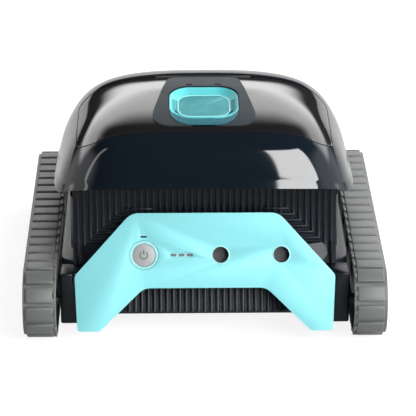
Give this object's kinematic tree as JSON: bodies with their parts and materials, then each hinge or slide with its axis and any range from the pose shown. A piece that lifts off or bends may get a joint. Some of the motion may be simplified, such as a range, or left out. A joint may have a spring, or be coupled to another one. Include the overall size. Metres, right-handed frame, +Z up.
{
  "type": "pool cleaner",
  "caption": "Cordless robotic pool cleaner on belt tracks, with a domed shroud, hatch over a filter basket, and a tilted front control bezel.",
  "frame": {"origin": "on the ground, under the middle of the machine's box", "axes": "+X to the right seen from the front, +Y towards the rear, +Z up"},
  "size_m": [0.4, 0.423, 0.248],
  "materials": {
    "navy_plastic": "moulded navy plastic",
    "gloss_navy": "high gloss",
    "smoke_gloss": "high gloss smoke",
    "matte_grey": "matte",
    "aqua_plastic": "satin aqua",
    "teal_plastic": "satin teal",
    "belt_rubber": "moulded rubber",
    "grey_plastic": "satin",
    "black_plastic": "satin",
    "brush_rubber": "soft rubber",
    "mesh_fabric": "fine woven mesh",
    "steel": "stainless",
    "brass": "plated",
    "board": "solder resist",
    "foam": "closed-cell foam",
    "lens": "smoked lens"
  },
  "bodies": {
    "root": {"tub": "navy_plastic", "upper_housing": "navy_plastic", "front_cowl": "navy_plastic", "corner_block_left": "navy_plastic", "corner_block_right": "navy_plastic", "side_cover_left": "navy_plastic", "side_cover_right": "navy_plastic", "shroud": "gloss_navy", "front_bezel": "aqua_plastic", "track_belt_left": "belt_rubber", "track_belt_right": "belt_rubber", "track_rails": "grey_plastic", "button_ring": "grey_plastic", "charge_sockets": "black_plastic", "gauge_frame": "black_plastic", "motor_housing": "black_plastic", "motor_lid": "black_plastic", "outlet_duct": "black_plastic", "suction_chutes": "black_plastic", "battery_case": "black_plastic", "battery_lid": "black_plastic", "control_case": "black_plastic", "control_lid": "black_plastic", "filter_basket": "black_plastic", "brush_bushes": "black_plastic", "drive_motors": "black_plastic", "duct_gasket": "brush_rubber", "filter_meshes": "mesh_fabric", "idler_axles": "steel", "pump_motor": "steel", "hatch_hinge_pin": "steel", "flap_pins": "steel", "cover_screws": "steel", "base_screws": "steel", "battery_cells": "steel", "charge_pins": "brass", "control_board": "board", "front_board": "board", "foam_floats": "foam", "led_lens": "lens", "gauge_windows": "lens"},
    "hatch": {"hatch": "smoke_gloss", "spine_cover": "matte_grey", "outlet_cup": "teal_plastic", "hatch_catch": "black_plastic"},
    "button": {"power_button": "grey_plastic"},
    "drive_left": {"drive_wheel_left": "grey_plastic", "drive_shaft_left": "steel"},
    "drive_right": {"drive_wheel_right": "grey_plastic", "drive_shaft_right": "steel"},
    "idler_left": {"idler_wheel_left": "grey_plastic"},
    "idler_right": {"idler_wheel_right": "grey_plastic"},
    "brush": {"brush_core": "black_plastic", "brush_sleeve": "brush_rubber", "brush_ends": "black_plastic"},
    "pump_rotor": {"impeller": "black_plastic", "pump_shaft": "steel"},
    "flap_left": {"intake_flap_left": "black_plastic"},
    "flap_right": {"intake_flap_right": "black_plastic"}
  },
  "joints": [
    {"name": "hatch_hinge", "type": "hinge", "parent": "root", "child": "hatch", "pos_m": [0, -0.006, 0.244], "axis": [-1, 0, 0], "range_deg": [0, 80]},
    {"name": "button_press", "type": "slide", "parent": "root", "child": "button", "axis": [0, 0.9239, -0.3827], "range_m": [0, 0.0012], "stiffness_N_per_m": 700, "springref_m": -0.001},
    {"name": "drive_left_spin", "type": "hinge", "parent": "root", "child": "drive_left", "pos_m": [-0.1817, 0.17, 0.0415], "axis": [1, 0, 0], "continuous": true},
    {"name": "drive_right_spin", "type": "hinge", "parent": "root", "child": "drive_right", "pos_m": [0.1817, 0.17, 0.0415], "axis": [1, 0, 0], "continuous": true},
    {"name": "idler_left_spin", "type": "hinge", "parent": "root", "child": "idler_left", "pos_m": [-0.1817, -0.17, 0.0415], "axis": [1, 0, 0], "continuous": true},
    {"name": "idler_right_spin", "type": "hinge", "parent": "root", "child": "idler_right", "pos_m": [0.1817, -0.17, 0.0415], "axis": [1, 0, 0], "continuous": true},
    {"name": "brush_spin", "type": "hinge", "parent": "root", "child": "brush", "pos_m": [0, -0.1205, 0.024], "axis": [1, 0, 0], "continuous": true},
    {"name": "impeller_spin", "type": "hinge", "parent": "root", "child": "pump_rotor", "pos_m": [0, -0.0825, 0.15], "axis": [0, 0, 1], "continuous": true},
    {"name": "flap_left_hinge", "type": "hinge", "parent": "root", "child": "flap_left", "pos_m": [-0.08, -0.044, 0.0771], "axis": [-1, 0, 0], "range_deg": [0, 60]},
    {"name": "flap_right_hinge", "type": "hinge", "parent": "root", "child": "flap_right", "pos_m": [0.08, -0.044, 0.0771], "axis": [-1, 0, 0], "range_deg": [0, 60]}
  ],
  "couplings": [
    {"joint": "idler_left_spin", "follows": "drive_left_spin", "ratio": 1},
    {"joint": "idler_right_spin", "follows": "drive_right_spin", "ratio": 1}
  ]
}
